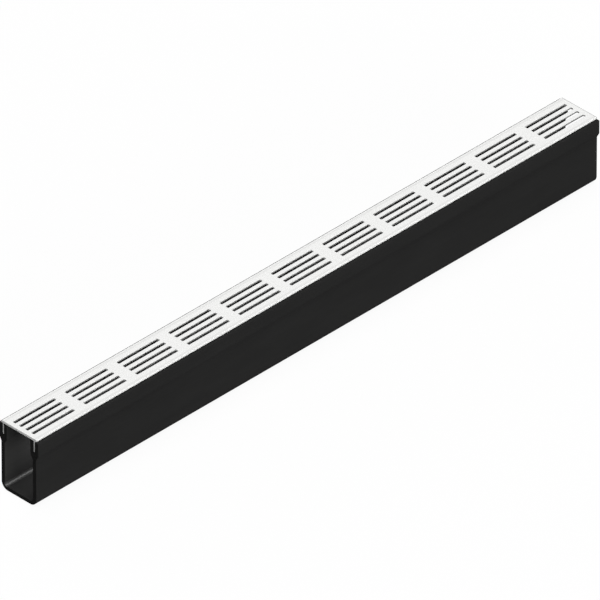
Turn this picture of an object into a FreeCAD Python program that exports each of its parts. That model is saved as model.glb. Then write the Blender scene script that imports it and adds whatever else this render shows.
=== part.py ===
import FreeCAD, Part
import math
import os

# A drainage channel: an extruded trough of U section whose walls end in forked rims,
# and a slotted grating that lies on the rims with its two legs in their grooves.
# Millimetres. X runs along the channel, Y across it, Z up.
# The origin is under the middle of the trough, in the plane that it stands on.

# Trough
CHANNEL_LENGTH = 1000.0
BODY_WIDTH = 62.0
TROUGH_HEIGHT = 100.0
WALL_THICKNESS = 6.0
FLOOR_THICKNESS = 5.5
OUTER_CORNER_RADIUS = 11.0
INNER_CORNER_RADIUS = 5.0

# Rim: each wall widens to both sides into a fork of two arms.
# The inner arm carries the grating, and the outer one stops a little below it.
RIM_OUTER_OVERHANG = 4.1
RIM_OUTER_STEP_DOWN = 0.8
RIM_OUTER_FACE_HEIGHT = 19.7
RIM_OUTER_TAPER_HEIGHT = 7.5
RIM_INNER_OVERHANG = 4.0
RIM_INNER_FACE_HEIGHT = 22.5
RIM_INNER_TAPER_HEIGHT = 7.0
RIM_EDGE_RADIUS = 0.5
TAPER_BEND_RADIUS = 1.5

# Grating: one extruded section of a plate and two legs, with punched slots
PLATE_THICKNESS = 2.5
PLATE_SIDE_SETBACK = 4.1
PLATE_END_SETBACK = 0.5
PLATE_EDGE_RADIUS = 0.4
LEG_THICKNESS = 2.0
LEG_HEIGHT = 16.3
LEG_CENTRE_FROM_PLATE_EDGE = 3.5
LEG_EDGE_RADIUS = 0.5

# Room for the legs in the grooves
GROOVE_SIDE_CLEARANCE = 0.35
GROOVE_DEPTH_CLEARANCE = 1.0
GROOVE_FLOOR_RADIUS = 0.6

# Slots: groups of parallel slots along the plate
SLOT_LENGTH = 72.5
SLOT_WIDTH = 5.0
SLOT_END_RADIUS = 1.0
BRIDGE_BETWEEN_GROUPS = 18.6
BAR_BETWEEN_SLOTS = 6.0
LEAST_END_MARGIN = 5.0
LEAST_MARGIN_TO_LEG = 4.0

# Places that follow from the sizes above
HALF_BODY = BODY_WIDTH / 2
HALF_INSIDE = HALF_BODY - WALL_THICKNESS
HALF_RIM = HALF_BODY + RIM_OUTER_OVERHANG
HALF_MOUTH = HALF_INSIDE - RIM_INNER_OVERHANG
HALF_PLATE = HALF_RIM - PLATE_SIDE_SETBACK
PLATE_LENGTH = CHANNEL_LENGTH - 2 * PLATE_END_SETBACK
PLATE_TOP = TROUGH_HEIGHT + PLATE_THICKNESS
LEG_CENTRE = HALF_PLATE - LEG_CENTRE_FROM_PLATE_EDGE
LEG_INNER_FACE = LEG_CENTRE - LEG_THICKNESS / 2
LEG_OUTER_FACE = LEG_CENTRE + LEG_THICKNESS / 2
LEG_BOTTOM = TROUGH_HEIGHT - LEG_HEIGHT
GROOVE_INNER_FACE = LEG_INNER_FACE - GROOVE_SIDE_CLEARANCE
GROOVE_OUTER_FACE = LEG_OUTER_FACE + GROOVE_SIDE_CLEARANCE
GROOVE_FLOOR = LEG_BOTTOM - GROOVE_DEPTH_CLEARANCE
OUTER_ARM_TOP = TROUGH_HEIGHT - RIM_OUTER_STEP_DOWN


def rounded_edges(corners):
    """Edges of a closed outline, from corners (u, v, radius) taken in order."""
    points = [FreeCAD.Vector(u, v, 0) for u, v, _ in corners]
    count = len(points)
    starts = []
    ends = []
    middles = []
    for i, (_, _, radius) in enumerate(corners):
        corner = points[i]
        back = (points[i - 1] - corner).normalize()
        ahead = (points[(i + 1) % count] - corner).normalize()
        if radius <= 0:
            starts.append(corner)
            middles.append(None)
            ends.append(corner)
            continue
        half_angle = back.getAngle(ahead) / 2
        reach = radius / math.tan(half_angle)
        bisector = (back + ahead).normalize()
        depth = radius / math.sin(half_angle) - radius
        starts.append(corner + back * reach)
        middles.append(corner + bisector * depth)
        ends.append(corner + ahead * reach)
    edges = []
    for i in range(count):
        if middles[i] is not None:
            edges.append(Part.Arc(starts[i], middles[i], ends[i]).toShape())
        following = starts[(i + 1) % count]
        if ends[i].distanceToPoint(following) > 1e-6:
            edges.append(Part.LineSegment(ends[i], following).toShape())
    return edges


def rounded_face(corners):
    """Flat face in the XY plane, inside an outline with rounded corners."""
    return Part.Face(Part.Wire(rounded_edges(corners)))


def extrude_along_x(half_section, length):
    """Solid of a section that is given for +Y as (y, z, radius) and mirrored to -Y."""
    mirrored = [(-y, z, radius) for y, z, radius in reversed(half_section)]
    face = rounded_face(half_section + mirrored)
    # The outline's u and v turn into Y and Z
    turn = FreeCAD.Rotation(FreeCAD.Vector(0, 1, 0), FreeCAD.Vector(0, 0, 1), FreeCAD.Vector(1, 0, 0), "XYZ")
    face.Placement = FreeCAD.Placement(FreeCAD.Vector(-length / 2, 0, 0), turn)
    return face.extrude(FreeCAD.Vector(length, 0, 0))


def channel_body():
    """Trough with rounded bottom corners and a grooved rim on each wall."""
    outer_head = OUTER_ARM_TOP - RIM_OUTER_FACE_HEIGHT
    inner_head = TROUGH_HEIGHT - RIM_INNER_FACE_HEIGHT
    half_section = [
        (HALF_BODY, 0, OUTER_CORNER_RADIUS),
        (HALF_BODY, outer_head - RIM_OUTER_TAPER_HEIGHT, TAPER_BEND_RADIUS),
        (HALF_RIM, outer_head, TAPER_BEND_RADIUS),
        (HALF_RIM, OUTER_ARM_TOP, RIM_EDGE_RADIUS),
        (GROOVE_OUTER_FACE, OUTER_ARM_TOP, RIM_EDGE_RADIUS),
        (GROOVE_OUTER_FACE, GROOVE_FLOOR, GROOVE_FLOOR_RADIUS),
        (GROOVE_INNER_FACE, GROOVE_FLOOR, GROOVE_FLOOR_RADIUS),
        (GROOVE_INNER_FACE, TROUGH_HEIGHT, RIM_EDGE_RADIUS),
        (HALF_MOUTH, TROUGH_HEIGHT, RIM_EDGE_RADIUS),
        (HALF_MOUTH, inner_head, TAPER_BEND_RADIUS),
        (HALF_INSIDE, inner_head - RIM_INNER_TAPER_HEIGHT, TAPER_BEND_RADIUS),
        (HALF_INSIDE, FLOOR_THICKNESS, INNER_CORNER_RADIUS),
    ]
    return extrude_along_x(half_section, CHANNEL_LENGTH)


def spread(span, item, gap, least_margin):
    """Centres of as many items as fit a span with a set gap, centred on zero."""
    count = int((span - 2 * least_margin + gap) // (item + gap))
    pitch = item + gap
    return [(i - (count - 1) / 2) * pitch for i in range(count)]


def slot_tool(x, y):
    """Cutter for one slot: a prism with rounded corners through the plate."""
    half_length = SLOT_LENGTH / 2
    half_width = SLOT_WIDTH / 2
    # Two arcs of the slot's full width meet, with no flat between them
    radius = min(SLOT_END_RADIUS, half_width)
    face = rounded_face([
        (half_length, half_width, radius),
        (-half_length, half_width, radius),
        (-half_length, -half_width, radius),
        (half_length, -half_width, radius),
    ])
    face.translate(FreeCAD.Vector(x, y, TROUGH_HEIGHT - PLATE_THICKNESS))
    return face.extrude(FreeCAD.Vector(0, 0, 3 * PLATE_THICKNESS))


def grating():
    """Plate with two legs along it, punched with groups of slots."""
    half_section = [
        (LEG_INNER_FACE, TROUGH_HEIGHT, 0),
        (LEG_INNER_FACE, LEG_BOTTOM, LEG_EDGE_RADIUS),
        (LEG_OUTER_FACE, LEG_BOTTOM, LEG_EDGE_RADIUS),
        (LEG_OUTER_FACE, TROUGH_HEIGHT, 0),
        (HALF_PLATE, TROUGH_HEIGHT, PLATE_EDGE_RADIUS),
        (HALF_PLATE, PLATE_TOP, PLATE_EDGE_RADIUS),
    ]
    plate = extrude_along_x(half_section, PLATE_LENGTH)
    tools = []
    for x in spread(PLATE_LENGTH, SLOT_LENGTH, BRIDGE_BETWEEN_GROUPS, LEAST_END_MARGIN):
        for y in spread(2 * LEG_INNER_FACE, SLOT_WIDTH, BAR_BETWEEN_SLOTS, LEAST_MARGIN_TO_LEG):
            tools.append(slot_tool(x, y))
    return plate.cut(tools)


def write_node(name, shape):
    """One file per piece, holding its single solid."""
    solid = shape.Solids[0]
    print(name, "solids", len(shape.Solids), "valid", solid.isValid(), "volume", round(solid.Volume))
    solid.exportStep("parts/" + name + ".step")


os.makedirs("parts", exist_ok=True)
write_node("channel_body", channel_body())
write_node("grating", grating())
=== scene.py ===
import math
import bmesh
import bpy
from bpy.props import FloatProperty, FloatVectorProperty, IntProperty, PointerProperty
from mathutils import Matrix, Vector


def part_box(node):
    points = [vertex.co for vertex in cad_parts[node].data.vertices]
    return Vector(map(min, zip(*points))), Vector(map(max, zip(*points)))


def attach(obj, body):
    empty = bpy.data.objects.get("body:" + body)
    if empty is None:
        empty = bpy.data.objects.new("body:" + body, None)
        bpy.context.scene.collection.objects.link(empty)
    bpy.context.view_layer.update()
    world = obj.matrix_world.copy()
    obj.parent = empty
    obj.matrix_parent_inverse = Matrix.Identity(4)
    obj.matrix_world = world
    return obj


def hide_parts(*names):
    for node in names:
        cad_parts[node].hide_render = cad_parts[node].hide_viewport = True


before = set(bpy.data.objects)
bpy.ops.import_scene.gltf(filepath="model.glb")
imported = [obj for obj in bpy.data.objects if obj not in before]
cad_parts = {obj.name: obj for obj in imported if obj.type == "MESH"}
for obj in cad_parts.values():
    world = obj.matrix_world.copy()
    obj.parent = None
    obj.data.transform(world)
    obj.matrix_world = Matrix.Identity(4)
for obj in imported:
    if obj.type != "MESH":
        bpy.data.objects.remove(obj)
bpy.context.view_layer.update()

bl_info = {
    "name": "Drainage Channel",
    "version": (1, 0, 0),
    "blender": (4, 5, 0),
    "location": "3D View > Sidebar > Channel",
    "description": "Dresses a drainage channel and its slotted grating, and sets its stage",
    "category": "Object",
}

# The corners of the boxes of the two pieces in model.glb, in metres
TROUGH_LOW, TROUGH_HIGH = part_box("channel_body")
GRATING_LOW, GRATING_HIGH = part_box("grating")
MM = 0.001

# Noises of the finishes: cells per metre along X, Y and Z, then detail and roughness
PLASTIC_DIE_LINES = ((1.5, 1100.0, 1100.0), 3.0, 0.6)
PLASTIC_GRAIN = ((2600.0, 2600.0, 2600.0), 1.0, 0.5)
PLASTIC_CLOUDS = ((9.0, 34.0, 34.0), 3.0, 0.55)
PLASTIC_SAW_LINES = ((1.0, 60.0, 1500.0), 2.0, 0.6)
METAL_DIE_LINES = ((2.0, 1500.0, 1500.0), 3.0, 0.6)
METAL_BLOOM = ((12.0, 45.0, 45.0), 4.0, 0.6)
METAL_GRAIN = ((3000.0, 3000.0, 3000.0), 1.0, 0.5)
METAL_SAW_LINES = ((1.0, 80.0, 1800.0), 2.0, 0.6)

# Darkest and lightest shade of each surface, as shares of its own colour
PLASTIC_WALL_SHADES = (0.72, 1.28)
PLASTIC_SAWN_SHADES = (0.85, 1.45)
METAL_SHADES = (0.955, 1.03)
LEG_BAND_SHADE = 0.88
# Painted shade: a dark line along the plate's cut ends, for the shade on their rounded edges
END_LINE_SHADE = 0.42
# Painted shade on the slot walls, partly the duller face that the punch tears
SLOT_WALL_SHADE = 0.60

# Share of the clouds or the bloom in a surface's tone, and of the die lines in its relief.
# Die lines make up the rest of the tone, and grain the rest of the relief.
PLASTIC_CLOUDS_IN_TONE = 0.6
PLASTIC_LINES_IN_RELIEF = 0.55
METAL_BLOOM_IN_TONE = 0.5
METAL_LINES_IN_RELIEF = 0.7

# How far the roughness varies over a surface, and how much rougher its sawn ends are
PLASTIC_ROUGHNESS_SWING = 0.08
PLASTIC_SAWN_ROUGHER = 0.15
METAL_ROUGHNESS_SWING = 0.06
METAL_SAWN_ROUGHER = 0.1

# Depth of each surface's relief
PLASTIC_RELIEF = 0.03 * MM
METAL_RELIEF = 0.02 * MM

# The plastic's specular is almost nothing, because white surroundings lift it at a grazing angle
PLASTIC_SPECULAR = 0.003
PLASTIC_COAT_ROUGHNESS = 0.42

# The inside corner's shine: how far it reaches past the corner's faces, and the share of the
# corner's radius at which it starts
SHINE_SLACK = 0.2 * MM
SHINE_START = 0.05

# Squares of a normal's part along an axis, above which a face counts as looking that way
LOOKS_ALONG = 0.8
LOOKS_UP = 0.5

# Meshes
WELD_DISTANCE = 0.002 * MM
PUNCH_WELD_DISTANCE = 0.0005 * MM
TRUE_EDGE_ANGLE = math.radians(35)
SAWN_EDGE_ANGLE = math.radians(60)
END_TOLERANCE = 0.01 * MM
TROUGH_ARC_STEPS = 9
GRATING_ARC_STEPS = 5
SLOT_CORNER_STEPS = 8
SLOT_RIM_STEPS = 4
PUNCH_OVERREACH = 1.0 * MM

# Stage: the floor, each distant light's direction and spread in degrees, and the strip lamp
FLOOR_HALF = 6.0
SUNS = (
    ("top_light", (0.0, 0.05, -1.0), 40),
    ("side_light", (0.2, 1.0, -0.15), 30),
    ("back_light", (-0.35, -1.0, -0.12), 40),
)
STRIP_LAMP_SHORTER = 20.0 * MM
STRIP_LAMP_WIDTH = 20.0 * MM
STRIP_LAMP_PLACE = (0, -16.0 * MM, 52.0 * MM)
STRIP_LAMP_TURN = math.radians(56)


def length(name, description, default):
    """A size in metres that the sidebar shows in the scene's unit."""
    return FloatProperty(name=name, description=description, default=default, min=0, precision=5,
                         unit="LENGTH")


def colour(name, description, default):
    """A linear colour with a swatch."""
    return FloatVectorProperty(name=name, description=description, default=default, size=3, min=0, max=1,
                               subtype="COLOR")


def share(name, description, default):
    """A number from 0 to 1."""
    return FloatProperty(name=name, description=description, default=default, min=0, max=1,
                         subtype="FACTOR")


class TroughSettings(bpy.types.PropertyGroup):
    """Sizes and finish of the trough"""
    wall: length("Wall", "Thickness of the side walls", 6.0 * MM)
    floor: length("Floor", "Thickness of the trough's floor", 5.5 * MM)
    outer_corner: length("Outer corner", "Radius under the trough's long edges", 11.0 * MM)
    inner_corner: length("Inner corner", "Radius between floor and walls", 5.0 * MM)
    outer_overhang: length("Outer overhang", "How far the rim stands out past the wall", 4.1 * MM)
    outer_step: length("Outer step", "How much lower the outer arm stops than the inner one", 0.8 * MM)
    outer_face: length("Outer face", "Height of the rim's straight outer face", 19.7 * MM)
    outer_taper: length("Outer taper", "Height over which the rim runs out into the wall", 7.5 * MM)
    inner_overhang: length("Inner overhang", "How far the lip stands in past the wall", 4.0 * MM)
    inner_face: length("Inner face", "Height of the lip's straight inner face", 22.5 * MM)
    inner_taper: length("Inner taper", "Height over which the lip runs out into the wall", 7.0 * MM)
    groove_side: length("Groove side gap", "Room beside a leg in its groove", 0.35 * MM)
    groove_depth: length("Groove depth gap", "Room under a leg in its groove", 1.0 * MM)
    groove_corner: length("Groove corner", "Radius at the groove's floor", 0.6 * MM)
    edge: length("Edge radius", "Radius of the rim's long edges", 0.5 * MM)
    bend: length("Bend radius", "Radius where the tapers begin and end", 1.5 * MM)
    saw_edge: length("Sawn edge", "Width of the broken edge at the cut ends", 0.2 * MM)
    corner_shine: share("Corner shine", "Gloss of the inside corner under the far wall", 0.90)
    plastic: colour("Plastic", "Colour of the black plastic", (0.0210, 0.0210, 0.0208))
    roughness: share("Roughness", "Roughness of the plastic", 0.70)


class GratingSettings(bpy.types.PropertyGroup):
    """Sizes and finish of the grating and its slots"""
    leg: length("Leg", "Thickness of a leg", 2.0 * MM)
    leg_centre: length("Leg centre", "From the plate's long edge to the middle of a leg", 3.5 * MM)
    leg_edge: length("Leg edge", "Radius under a leg", 0.5 * MM)
    plate_edge: length("Plate edge", "Radius of the plate's long edges", 0.4 * MM)
    leg_band: length("Leg band", "Half width of the faint band over each leg", 2.4 * MM)
    saw_edge: length("Sawn edge", "Width of the broken edge at the cut ends", 0.15 * MM)
    # Painted shade: width of a dark line that stands in for the shade on the cut ends' rounded edges
    end_shade_line: length("End shade line", "Width of the painted shade line along a cut end", 0.9 * MM)
    slot_length: length("Slot length", "End to end length of a slot", 72.5 * MM)
    slot_width: length("Slot width", "Width of a slot", 5.0 * MM)
    slot_end: length("Slot end radius", "Radius in the corners of a slot", 1.0 * MM)
    slot_rim: length("Slot rim", "Radius that the punch leaves round a slot", 0.25 * MM)
    group_pitch: length("Group pitch", "From one group of slots to the next", 91.1 * MM)
    row_pitch: length("Row pitch", "From one row of slots to the next", 11.0 * MM)
    groups: IntProperty(name="Groups", description="Groups of slots along the plate", default=11, min=1)
    rows: IntProperty(name="Rows", description="Slots side by side in a group", default=4, min=1)
    metal: colour("Metal", "Colour of the pale metal", (0.877, 0.878, 0.868))
    metallic: share("Metallic", "How much the finish mirrors like bare metal", 0.05)
    roughness: share("Roughness", "Roughness of the metal", 0.42)


class StageSettings(bpy.types.PropertyGroup):
    """Floor, lights and camera"""
    floor_colour: colour("Floor", "Colour of the floor", (0.97, 0.97, 0.97))
    bounce: share("Bounce", "How much light the floor gives back to the object", 0.10)
    white: share("White", "Share of plain white in the floor that the camera sees", 0.94)
    ambient: share("Ambient", "Strength of the light that comes from all around", 0.10)
    top_light: FloatProperty(name="Top light", description="Strength of the light overhead",
                             default=2.10, min=0)
    side_light: FloatProperty(name="Side light", description="Strength of the light on the long side",
                              default=2.95, min=0)
    back_light: FloatProperty(name="Back light", description="Strength of the light behind",
                              default=1.30, min=0)
    inside_light: FloatProperty(name="Inside light", default=0.47, min=0,
                                description="Power of the strip lamp in the trough, in watts")
    lens: FloatProperty(name="Lens", description="Focal length in millimetres", default=1700.0, min=1,
                        unit="CAMERA")
    frame_width: length("Frame width", "Width of the picture at the object's middle", 0.7564)
    aim: FloatVectorProperty(name="Aim", description="Point in the middle of the picture", size=3,
                             default=(-0.0027, -0.00013, 0.0540), subtype="XYZ", unit="LENGTH")


class Signal:
    """An output socket of a tree, with the arithmetic that adds Math nodes."""

    def __init__(self, graph, socket):
        self.graph = graph
        self.socket = socket

    def _math(self, operation, first, second):
        return self.graph.add("ShaderNodeMath", {"operation": operation}, {0: first, 1: second})

    def __add__(self, other):
        return self._math("ADD", self, other)

    def __radd__(self, other):
        return self._math("ADD", other, self)

    def __sub__(self, other):
        return self._math("SUBTRACT", self, other)

    def __rsub__(self, other):
        return self._math("SUBTRACT", other, self)

    def __mul__(self, other):
        return self._math("MULTIPLY", self, other)

    def __rmul__(self, other):
        return self._math("MULTIPLY", other, self)

    def __abs__(self):
        return self.graph.add("ShaderNodeMath", {"operation": "ABSOLUTE"}, {0: self})

    def above(self, edge):
        """1 where the signal is greater than an edge, and 0 elsewhere."""
        return self._math("GREATER_THAN", self, edge)


class Graph:
    """A node tree that grows by expressions."""

    def __init__(self, tree):
        self.tree = tree
        self.tree.nodes.clear()

    def feed(self, socket, value):
        """Links a signal to a socket, or sets the socket's own value."""
        if isinstance(value, Signal):
            self.tree.links.new(value.socket, socket)
        else:
            socket.default_value = value

    def add(self, kind, settings=None, inputs=None, output=0):
        """Adds a node, with its settings first and its sockets after, and gives one output if it has any."""
        node = self.tree.nodes.new(kind)
        for name, value in (settings or {}).items():
            setattr(node, name, value)
        for name, value in (inputs or {}).items():
            self.feed(node.inputs[name], value)
        return Signal(self, node.outputs[output]) if len(node.outputs) else None


def stretched_noise(graph, place, noise):
    """Noise with its own scale along X, Y and Z, from one of the rows at the top."""
    scale, detail, roughness = noise
    spread = graph.add("ShaderNodeMapping", {}, {"Vector": place, "Scale": scale})
    return graph.add("ShaderNodeTexNoise", {"noise_dimensions": "3D"},
                     {"Vector": spread, "Scale": 1.0, "Detail": detail, "Roughness": roughness})


def facing(graph, axis, least):
    """1 on the faces that look along an axis, either way, and 0 elsewhere."""
    normal = graph.add("ShaderNodeNewGeometry", output="Normal")
    part = graph.add("ShaderNodeSeparateXYZ", {}, {"Vector": normal}, output=axis)
    return (part * part).above(least)


def cut_end_mask(graph):
    """1 on the faces that look along the run, where the piece was sawn, and 0 elsewhere."""
    return facing(graph, "X", LOOKS_ALONG)


def mixed_colour(graph, factor, low, high):
    """Colour between two shades."""
    return graph.add("ShaderNodeMix", {"data_type": "RGBA"}, {0: factor, 6: low, 7: high}, output=2)


def mixed_number(factor, low, high):
    """Number between two values."""
    return low + factor * (high - low)


def shade(rgb, factor):
    """A colour made lighter or darker."""
    return tuple(min(1.0, c * factor) for c in rgb) + (1.0,)


def shades(graph, factor, rgb, low, high):
    """Colour between two shades of one colour."""
    return mixed_colour(graph, factor, shade(rgb, low), shade(rgb, high))


def inner_corner_mask(graph, place, settings):
    """Shine of the rounded corner between the floor and the +Y wall, which the die leaves glossy."""
    across = graph.add("ShaderNodeSeparateXYZ", {}, {"Vector": place}, output="Y")
    height = graph.add("ShaderNodeSeparateXYZ", {}, {"Vector": place}, output="Z")
    wall = TROUGH_HIGH.y - settings.outer_overhang - settings.wall
    radius = settings.inner_corner
    out = (across - (wall - radius)) * (1 / radius)
    down = (settings.floor + radius - height) * (1 / radius)
    inner = (wall + SHINE_SLACK - across).above(0.0) * height.above(settings.floor - SHINE_SLACK)
    return out.above(SHINE_START) * down.above(SHINE_START) * inner * settings.corner_shine


def leg_band(graph, place, settings):
    """1 over the middle of each leg, fading to 0, for a darker band on the plate there."""
    across = graph.add("ShaderNodeSeparateXYZ", {}, {"Vector": place}, output="Y")
    centre = GRATING_HIGH.y - settings.leg_centre
    return graph.add("ShaderNodeMapRange", {"interpolation_type": "SMOOTHSTEP"},
                     {"Value": abs(abs(across) - centre), "From Min": settings.leg_band, "From Max": 0.0})


def end_shade_line(graph, place, settings):
    """1 in a narrow line along the two cut ends of the plate, where painted shade stands in for the shade on
    their rounded edges.
    """
    along = graph.add("ShaderNodeSeparateXYZ", {}, {"Vector": place}, output="X")
    return abs(along).above(GRATING_HIGH.x - settings.end_shade_line)


def slot_wall_shade_mask(graph, place, settings):
    """1 on the upright walls of the slots, darkened by painted shade and partly by the duller face that the
    punch tears, and 0 on the rest of the grating.
    """
    across = graph.add("ShaderNodeSeparateXYZ", {}, {"Vector": place}, output="Y")
    reach = settings.row_pitch * (settings.rows - 1) / 2 + settings.slot_width / 2 + settings.slot_rim
    return (1 - facing(graph, "Z", LOOKS_UP)) * (1 - (across * across).above(reach * reach))


def new_material(name):
    """A material with an empty tree."""
    material = bpy.data.materials.new(name)
    material.use_nodes = True
    return material, Graph(material.node_tree)


def surface(graph, base, roughness, height, relief, others):
    """Finishes a material, with its relief as a bump and any other sockets of its shader."""
    normal = graph.add("ShaderNodeBump", {}, {"Strength": 1.0, "Distance": relief, "Height": height})
    inputs = {"Base Color": base, "Roughness": roughness, "Normal": normal}
    inputs.update(others)
    shader = graph.add("ShaderNodeBsdfPrincipled", {}, inputs)
    graph.add("ShaderNodeOutputMaterial", {}, {"Surface": shader})


def black_plastic(settings):
    """Matte extruded plastic: die lines along the run, a fine grain, cloudy tone and sawn ends."""
    material, graph = new_material("black_plastic")
    place = graph.add("ShaderNodeTexCoord", output="Object")
    die_lines = stretched_noise(graph, place, PLASTIC_DIE_LINES)
    grain = stretched_noise(graph, place, PLASTIC_GRAIN)
    clouds = stretched_noise(graph, place, PLASTIC_CLOUDS)
    saw_lines = stretched_noise(graph, place, PLASTIC_SAW_LINES)
    ends = cut_end_mask(graph)
    tone = clouds * PLASTIC_CLOUDS_IN_TONE + die_lines * (1 - PLASTIC_CLOUDS_IN_TONE)
    walls = shades(graph, tone, settings.plastic, *PLASTIC_WALL_SHADES)
    sawn = shades(graph, saw_lines, settings.plastic, *PLASTIC_SAWN_SHADES)
    base = mixed_colour(graph, ends, walls, sawn)
    wall_roughness = mixed_number(clouds, settings.roughness - PLASTIC_ROUGHNESS_SWING,
                                  settings.roughness + PLASTIC_ROUGHNESS_SWING)
    wall_height = die_lines * PLASTIC_LINES_IN_RELIEF + grain * (1 - PLASTIC_LINES_IN_RELIEF)
    height = ends * saw_lines + (1 - ends) * wall_height
    surface(graph, base, wall_roughness + ends * PLASTIC_SAWN_ROUGHER, height, PLASTIC_RELIEF, {
        "Specular IOR Level": PLASTIC_SPECULAR, "Metallic": 0.0, "Coat Roughness": PLASTIC_COAT_ROUGHNESS,
        "Coat Weight": inner_corner_mask(graph, place, settings)})
    return material


def pale_metal(settings):
    """Pale extruded metal with the marks of its making, and painted shade.

    It has die lines along the run, a faint bloom, a darker band over each leg, a painted dark line along the
    sawn ends for the shade on their rounded edges, and slot walls darkened by painted shade and partly by
    the duller face that the punch tears.
    """
    material, graph = new_material("pale_metal")
    place = graph.add("ShaderNodeTexCoord", output="Object")
    die_lines = stretched_noise(graph, place, METAL_DIE_LINES)
    bloom = stretched_noise(graph, place, METAL_BLOOM)
    grain = stretched_noise(graph, place, METAL_GRAIN)
    saw_lines = stretched_noise(graph, place, METAL_SAW_LINES)
    ends = cut_end_mask(graph)
    tone = bloom * METAL_BLOOM_IN_TONE + die_lines * (1 - METAL_BLOOM_IN_TONE)
    plain = shades(graph, tone, settings.metal, *METAL_SHADES)
    over_legs = leg_band(graph, place, settings)
    # Painted shade along the cut ends, for the shade on their rounded edges
    end_shaded = end_shade_line(graph, place, settings) * (1 - ends)
    # Painted shade on the slot walls, partly the duller face that the punch tears
    slot_wall_shade = slot_wall_shade_mask(graph, place, settings) * (1 - ends)
    banded = mixed_colour(graph, over_legs, plain, shade(settings.metal, LEG_BAND_SHADE))
    lined = mixed_colour(graph, end_shaded, banded, shade(settings.metal, END_LINE_SHADE))
    base = mixed_colour(graph, slot_wall_shade, lined, shade(settings.metal, SLOT_WALL_SHADE))
    roughness = mixed_number(bloom, settings.roughness - METAL_ROUGHNESS_SWING,
                             settings.roughness + METAL_ROUGHNESS_SWING) + ends * METAL_SAWN_ROUGHER
    wall_height = die_lines * (1 - ends) * METAL_LINES_IN_RELIEF
    height = wall_height + saw_lines * ends + grain * (1 - METAL_LINES_IN_RELIEF)
    surface(graph, base, roughness, height, METAL_RELIEF, {"Metallic": settings.metallic})
    return material


def node_group(name, sockets):
    """A geometry tree with named inputs, its graph and the signals of those inputs."""
    tree = bpy.data.node_groups.new(name, "GeometryNodeTree")
    graph = Graph(tree)
    tree.interface.new_socket("Geometry", in_out="INPUT", socket_type="NodeSocketGeometry")
    for label, kind in sockets:
        tree.interface.new_socket(label, in_out="INPUT", socket_type=kind)
    tree.interface.new_socket("Geometry", in_out="OUTPUT", socket_type="NodeSocketGeometry")
    labels = ["Geometry"] + [label for label, _ in sockets]
    signals = {label: graph.add("NodeGroupInput", output=label) for label in labels}
    return tree, graph, signals


def end_tree(graph, geometry, material):
    """Real geometry, smooth but for its true edges, with its material."""
    real = graph.add("GeometryNodeRealizeInstances", {}, {"Geometry": geometry})
    welded = graph.add("GeometryNodeMergeByDistance", {}, {"Geometry": real, "Distance": WELD_DISTANCE})
    smooth = graph.add("GeometryNodeSetShadeSmooth", {"domain": "FACE"}, {0: welded, 2: True})
    angle = graph.add("GeometryNodeInputMeshEdgeAngle")
    true_edges = graph.add("FunctionNodeCompare", {"data_type": "FLOAT", "operation": "GREATER_THAN"},
                           {0: angle, 1: TRUE_EDGE_ANGLE})
    creased = graph.add("GeometryNodeSetShadeSmooth", {"domain": "EDGE"},
                        {0: smooth, 1: true_edges, 2: False})
    painted = graph.add("GeometryNodeSetMaterial", {}, {"Geometry": creased, "Material": material})
    graph.add("NodeGroupOutput", {}, {0: painted})


def extrusion_tree():
    """Rounds a section's corners by their own radius, and sweeps it along X with closed ends."""
    tree, graph, given = node_group("extrusion", [
        ("Length", "NodeSocketFloat"), ("Arc Steps", "NodeSocketInt"), ("Material", "NodeSocketMaterial")])
    outline = graph.add("GeometryNodeMeshToCurve", {}, {0: given["Geometry"]})
    radius = graph.add("GeometryNodeInputNamedAttribute", {"data_type": "FLOAT"}, {"Name": "corner_radius"})
    rounded = graph.add("GeometryNodeFilletCurve", {"mode": "POLY"}, {
        "Curve": outline, "Count": given["Arc Steps"], "Radius": radius, "Limit Radius": True})
    half = given["Length"] * 0.5
    start = graph.add("ShaderNodeCombineXYZ", {}, {"X": half * -1.0})
    end = graph.add("ShaderNodeCombineXYZ", {}, {"X": half})
    run = graph.add("GeometryNodeCurvePrimitiveLine", {"mode": "POINTS"}, {"Start": start, "End": end})
    swept = graph.add("GeometryNodeCurveToMesh", {},
                      {"Curve": run, "Profile Curve": rounded, "Fill Caps": True})
    end_tree(graph, swept, given["Material"])
    return tree


def punching_tree():
    """Sets a punch at each slot of a grid and takes it out of the blank."""
    tree, graph, given = node_group("punching", [
        ("Punch", "NodeSocketObject"), ("Groups", "NodeSocketInt"), ("Rows", "NodeSocketInt"),
        ("Group Pitch", "NodeSocketFloat"), ("Row Pitch", "NodeSocketFloat"),
        ("Material", "NodeSocketMaterial")])
    places = graph.add("GeometryNodeMeshGrid", {}, {
        "Size X": given["Group Pitch"] * (given["Groups"] - 1),
        "Size Y": given["Row Pitch"] * (given["Rows"] - 1),
        "Vertices X": given["Groups"], "Vertices Y": given["Rows"]})
    punch = graph.add("GeometryNodeObjectInfo", {"transform_space": "ORIGINAL"}, {"Object": given["Punch"]},
                      output="Geometry")
    punches = graph.add("GeometryNodeInstanceOnPoints", {}, {"Points": places, "Instance": punch})
    solid = graph.add("GeometryNodeRealizeInstances", {}, {"Geometry": punches})
    slotted = graph.add("GeometryNodeMeshBoolean", {"operation": "DIFFERENCE", "solver": "EXACT"},
                        {"Mesh 1": given["Geometry"], "Mesh 2": solid})
    end_tree(graph, slotted, given["Material"])
    return tree


def add_object(name, data):
    """A new object at the origin, linked to the scene."""
    made = bpy.data.objects.new(name, data)
    bpy.context.scene.collection.objects.link(made)
    return made


def through_tree(source, tree, values):
    """Plain mesh of an object passed through a geometry tree, with the source removed."""
    modifier = source.modifiers.new("tree", "NODES")
    modifier.node_group = tree
    for item in tree.interface.items_tree:
        if item.in_out == "INPUT" and item.name in values:
            modifier[item.identifier] = values[item.name]
    source.update_tag()
    depsgraph = bpy.context.evaluated_depsgraph_get()
    mesh = bpy.data.meshes.new_from_object(source.evaluated_get(depsgraph), depsgraph=depsgraph)
    bpy.data.objects.remove(source)
    return mesh


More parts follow.
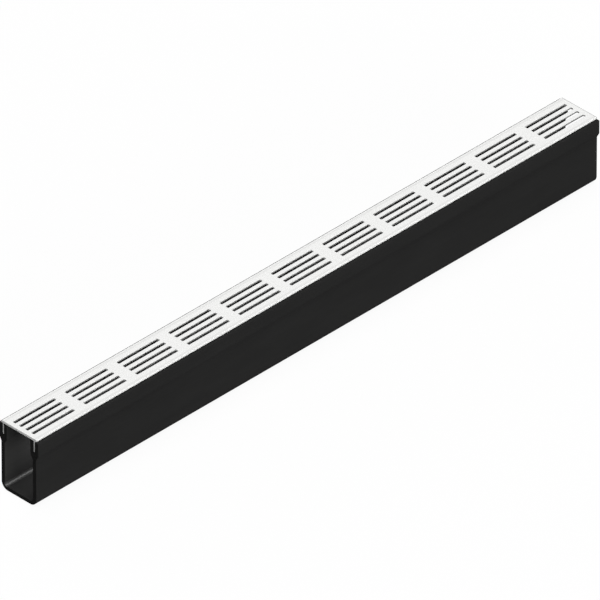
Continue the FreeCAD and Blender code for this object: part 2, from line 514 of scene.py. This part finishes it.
def section_object(name, half_section):
    """Closed outline of a section from its +Y half, as (y, z, radius), mirrored to -Y.

    The sweep turns an outline's x and y into -Y and -Z, so both are given negative.
    """
    corners = half_section + [(-y, z, radius) for y, z, radius in reversed(half_section)]
    count = len(corners)
    points = [(-y, -z, 0) for y, z, _ in corners]
    mesh = bpy.data.meshes.new(name)
    mesh.from_pydata(points, [(i, (i + 1) % count) for i in range(count)], [])
    radii = mesh.attributes.new("corner_radius", "FLOAT", "POINT")
    radii.data.foreach_set("value", [radius for _, _, radius in corners])
    return add_object(name, mesh)


def finish_mesh(mesh, run_end, saw_edge, name):
    """Turns faces outwards, breaks the sawn end edges and evens the normals of the flat faces."""
    work = bmesh.new()
    work.from_mesh(mesh)
    bmesh.ops.recalc_face_normals(work, faces=work.faces)
    weight = work.edges.layers.float.new("bevel_weight_edge")
    for edge in work.edges:
        at_end = all(abs(abs(vertex.co.x) - run_end) < END_TOLERANCE for vertex in edge.verts)
        if at_end and edge.is_manifold and edge.calc_face_angle(0) > SAWN_EDGE_ANGLE:
            edge[weight] = 1.0
    work.to_mesh(mesh)
    work.free()
    piece = add_object(name, mesh)
    bevel = piece.modifiers.new("sawn_edges", "BEVEL")
    bevel.limit_method = "WEIGHT"
    bevel.width = saw_edge
    bevel.segments = 2
    even = piece.modifiers.new("even_normals", "WEIGHTED_NORMAL")
    even.keep_sharp = True
    even.weight = 100
    return piece


def leg_faces(settings):
    """Distances of a leg's inner and outer face from the middle plane."""
    centre = GRATING_HIGH.y - settings.leg_centre
    return centre - settings.leg / 2, centre + settings.leg / 2


def slot_loop(work, settings, z, outset):
    """Vertices round one slot at a height, pushed out from the slot's edge."""
    radius = min(settings.slot_end, settings.slot_width / 2)
    centre_x = settings.slot_length / 2 - radius
    centre_y = settings.slot_width / 2 - radius
    loop = []
    for side_x, side_y, start in ((1, 1, 0), (-1, 1, 90), (-1, -1, 180), (1, -1, 270)):
        for step in range(SLOT_CORNER_STEPS + 1):
            angle = math.radians(start + 90 * step / SLOT_CORNER_STEPS)
            x = side_x * centre_x + (radius + outset) * math.cos(angle)
            y = side_y * centre_y + (radius + outset) * math.sin(angle)
            loop.append(work.verts.new((x, y, z)))
    return loop


def punch_object(settings):
    """One slot's punch: straight through the plate, and flared at the top by the slot's rounded rim."""
    top = GRATING_HIGH.z
    rim = settings.slot_rim
    levels = [(TROUGH_HIGH.z - PUNCH_OVERREACH, 0.0), (top - rim, 0.0)]
    for step in range(1, SLOT_RIM_STEPS + 1):
        angle = math.radians(90 * step / SLOT_RIM_STEPS)
        levels.append((top - rim * (1 - math.sin(angle)), rim * (1 - math.cos(angle))))
    levels.append((top + PUNCH_OVERREACH, rim))
    work = bmesh.new()
    loops = [slot_loop(work, settings, z, outset) for z, outset in levels]
    for lower, upper in zip(loops, loops[1:]):
        for i in range(len(lower)):
            j = (i + 1) % len(lower)
            work.faces.new((lower[i], lower[j], upper[j], upper[i]))
    work.faces.new(list(reversed(loops[0])))
    work.faces.new(loops[-1])
    bmesh.ops.remove_doubles(work, verts=work.verts, dist=PUNCH_WELD_DISTANCE)
    bmesh.ops.recalc_face_normals(work, faces=work.faces)
    mesh = bpy.data.meshes.new("punch")
    work.to_mesh(mesh)
    work.free()
    return add_object("punch", mesh)


def sun(name, direction, strength, spread):
    """A soft distant light that shines along a direction."""
    data = bpy.data.lights.new(name, "SUN")
    data.energy = strength
    data.angle = math.radians(spread)
    lamp = add_object(name, data)
    lamp.rotation_euler = Vector(direction).to_track_quat("-Z", "Y").to_euler()


def inside_lamp(settings):
    """A strip lamp along the inside of the near wall, so that the trough's inside isn't lost in black."""
    data = bpy.data.lights.new("inside_light", "AREA")
    data.shape = "RECTANGLE"
    data.size = TROUGH_HIGH.x - TROUGH_LOW.x - STRIP_LAMP_SHORTER
    data.size_y = STRIP_LAMP_WIDTH
    data.energy = settings.inside_light
    lamp = add_object("inside_light", data)
    lamp.location = STRIP_LAMP_PLACE
    # Its long side lies along X, and it shines along +Y and downwards
    lamp.rotation_euler = (STRIP_LAMP_TURN, 0, 0)
    lamp.visible_camera = False


def seen_directly(graph):
    """1 for what the camera, a reflection or a clear material sees, and 0 for light that bounces."""
    seen = graph.add("ShaderNodeLightPath", output="Is Camera Ray")
    mirrored = graph.add("ShaderNodeLightPath", output="Is Glossy Ray")
    passed = graph.add("ShaderNodeLightPath", output="Is Transmission Ray")
    return seen + (mirrored + passed)


def floor_material(settings):
    """Pale floor that reads white, keeps a faint shadow, and can't be seen from below."""
    material, graph = new_material("pale_floor")
    direct = seen_directly(graph)
    dim = shade(settings.floor_colour, settings.bounce)
    tint = mixed_colour(graph, direct, dim, shade(settings.floor_colour, 1))
    matte = graph.add("ShaderNodeBsdfDiffuse", {}, {"Color": tint})
    glow = graph.add("ShaderNodeEmission", {}, {"Color": (1, 1, 1, 1), "Strength": 1.0})
    lit = graph.add("ShaderNodeMixShader", {}, {0: direct * settings.white, 1: matte, 2: glow})
    below = graph.add("ShaderNodeNewGeometry", output="Backfacing")
    clear = graph.add("ShaderNodeBsdfTransparent")
    whole = graph.add("ShaderNodeMixShader", {}, {0: below, 1: lit, 2: clear})
    graph.add("ShaderNodeOutputMaterial", {}, {"Surface": whole})
    return material


def white_world(settings):
    """Even light from all around, which the camera and reflections see as white."""
    world = bpy.data.worlds.new("studio")
    world.use_nodes = True
    graph = Graph(world.node_tree)
    strength = mixed_number(seen_directly(graph), settings.ambient, 1.0)
    light = graph.add("ShaderNodeBackground", {}, {"Color": (1, 1, 1, 1), "Strength": strength})
    graph.add("ShaderNodeOutputWorld", {}, {"Surface": light})
    bpy.context.scene.world = world


def set_camera(settings):
    """Looks from the front left and above, with the three axes equally foreshortened."""
    towards_camera = Vector((-1.0, -1.0, 1.0)).normalized()
    data = bpy.data.cameras.new("camera")
    data.lens = settings.lens
    distance = settings.frame_width * settings.lens / data.sensor_width
    data.clip_end = distance * 3
    camera = add_object("camera", data)
    camera.location = Vector(settings.aim) + towards_camera * distance
    camera.rotation_euler = (-towards_camera).to_track_quat("-Z", "Y").to_euler()
    bpy.context.scene.camera = camera


class CHANNEL_OT_trough(bpy.types.Operator):
    """Sweeps the trough's section along its run and gives it its plastic"""
    bl_idname = "channel.trough"
    bl_label = "Make trough"

    def execute(self, context):
        s = context.scene.channel_trough
        top = TROUGH_HIGH.z
        outer_top = top - s.outer_step
        body = TROUGH_HIGH.y - s.outer_overhang
        inside = body - s.wall
        mouth = inside - s.inner_overhang
        leg_inner, leg_outer = leg_faces(context.scene.channel_grating)
        groove_inner = leg_inner - s.groove_side
        groove_outer = leg_outer + s.groove_side
        groove_floor = GRATING_LOW.z - s.groove_depth
        half_section = [
            (body, 0.0, s.outer_corner),
            (body, outer_top - s.outer_face - s.outer_taper, s.bend),
            (TROUGH_HIGH.y, outer_top - s.outer_face, s.bend),
            (TROUGH_HIGH.y, outer_top, s.edge),
            (groove_outer, outer_top, s.edge),
            (groove_outer, groove_floor, s.groove_corner),
            (groove_inner, groove_floor, s.groove_corner),
            (groove_inner, top, s.edge),
            (mouth, top, s.edge),
            (mouth, top - s.inner_face, s.bend),
            (inside, top - s.inner_face - s.inner_taper, s.bend),
            (inside, s.floor, s.inner_corner),
        ]
        outline = section_object("trough_section", half_section)
        values = {"Length": TROUGH_HIGH.x - TROUGH_LOW.x, "Arc Steps": TROUGH_ARC_STEPS,
                  "Material": black_plastic(s)}
        mesh = through_tree(outline, extrusion_tree(), values)
        trough = finish_mesh(mesh, TROUGH_HIGH.x, s.saw_edge, "trough")
        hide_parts("channel_body")
        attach(trough, "root")
        return {"FINISHED"}


class CHANNEL_OT_grating(bpy.types.Operator):
    """Extrudes the grating's section, punches its slots and gives it its metal"""
    bl_idname = "channel.grating"
    bl_label = "Make grating"

    def execute(self, context):
        s = context.scene.channel_grating
        leg_inner, leg_outer = leg_faces(s)
        underside = TROUGH_HIGH.z
        half_section = [
            (leg_inner, underside, 0.0),
            (leg_inner, GRATING_LOW.z, s.leg_edge),
            (leg_outer, GRATING_LOW.z, s.leg_edge),
            (leg_outer, underside, 0.0),
            (GRATING_HIGH.y, underside, s.plate_edge),
            (GRATING_HIGH.y, GRATING_HIGH.z, s.plate_edge),
        ]
        metal = pale_metal(s)
        outline = section_object("grating_section", half_section)
        values = {"Length": GRATING_HIGH.x - GRATING_LOW.x, "Arc Steps": GRATING_ARC_STEPS,
                  "Material": metal}
        blank = add_object("grating_blank", through_tree(outline, extrusion_tree(), values))
        punch = punch_object(s)
        values = {"Punch": punch, "Groups": s.groups, "Rows": s.rows, "Group Pitch": s.group_pitch,
                  "Row Pitch": s.row_pitch, "Material": metal}
        mesh = through_tree(blank, punching_tree(), values)
        bpy.data.objects.remove(punch)
        grating = finish_mesh(mesh, GRATING_HIGH.x, s.saw_edge, "slotted_grating")
        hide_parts("grating")
        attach(grating, "root")
        return {"FINISHED"}


class CHANNEL_OT_stage(bpy.types.Operator):
    """Sets the floor, the soft lights, the white surroundings and the camera"""
    bl_idname = "channel.stage"
    bl_label = "Set stage"

    def execute(self, context):
        s = context.scene.channel_stage
        context.scene.view_settings.view_transform = "Standard"
        corners = ((-1, -1), (1, -1), (1, 1), (-1, 1))
        mesh = bpy.data.meshes.new("floor")
        mesh.from_pydata([(x * FLOOR_HALF, y * FLOOR_HALF, 0) for x, y in corners], [], [(0, 1, 2, 3)])
        floor = add_object("floor", mesh)
        floor.data.materials.append(floor_material(s))
        white_world(s)
        for name, direction, spread in SUNS:
            sun(name, direction, getattr(s, name), spread)
        inside_lamp(s)
        set_camera(s)
        return {"FINISHED"}


class CHANNEL_PT_sidebar(bpy.types.Panel):
    """Lists the pieces, their sizes and colours, and the stage"""
    bl_label = "Drainage Channel"
    bl_space_type = "VIEW_3D"
    bl_region_type = "UI"
    bl_category = "Channel"

    def draw(self, context):
        groups = ((context.scene.channel_trough, CHANNEL_OT_trough),
                  (context.scene.channel_grating, CHANNEL_OT_grating),
                  (context.scene.channel_stage, CHANNEL_OT_stage))
        for settings, operator in groups:
            box = self.layout.box()
            for name in settings.__annotations__:
                box.prop(settings, name)
            box.operator(operator.bl_idname)


CLASSES = (TroughSettings, GratingSettings, StageSettings, CHANNEL_OT_trough, CHANNEL_OT_grating,
           CHANNEL_OT_stage, CHANNEL_PT_sidebar)


def register():
    """Registers the classes and puts their settings on the scene."""
    for cls in CLASSES:
        bpy.utils.register_class(cls)
    bpy.types.Scene.channel_trough = PointerProperty(type=TroughSettings)
    bpy.types.Scene.channel_grating = PointerProperty(type=GratingSettings)
    bpy.types.Scene.channel_stage = PointerProperty(type=StageSettings)


def unregister():
    """Takes the settings and the classes away again."""
    del bpy.types.Scene.channel_stage
    del bpy.types.Scene.channel_grating
    del bpy.types.Scene.channel_trough
    for cls in reversed(CLASSES):
        bpy.utils.unregister_class(cls)


def main():
    register()
    bpy.ops.channel.stage()
    bpy.ops.channel.trough()
    bpy.ops.channel.grating()


if __name__ == "__main__":
    main()
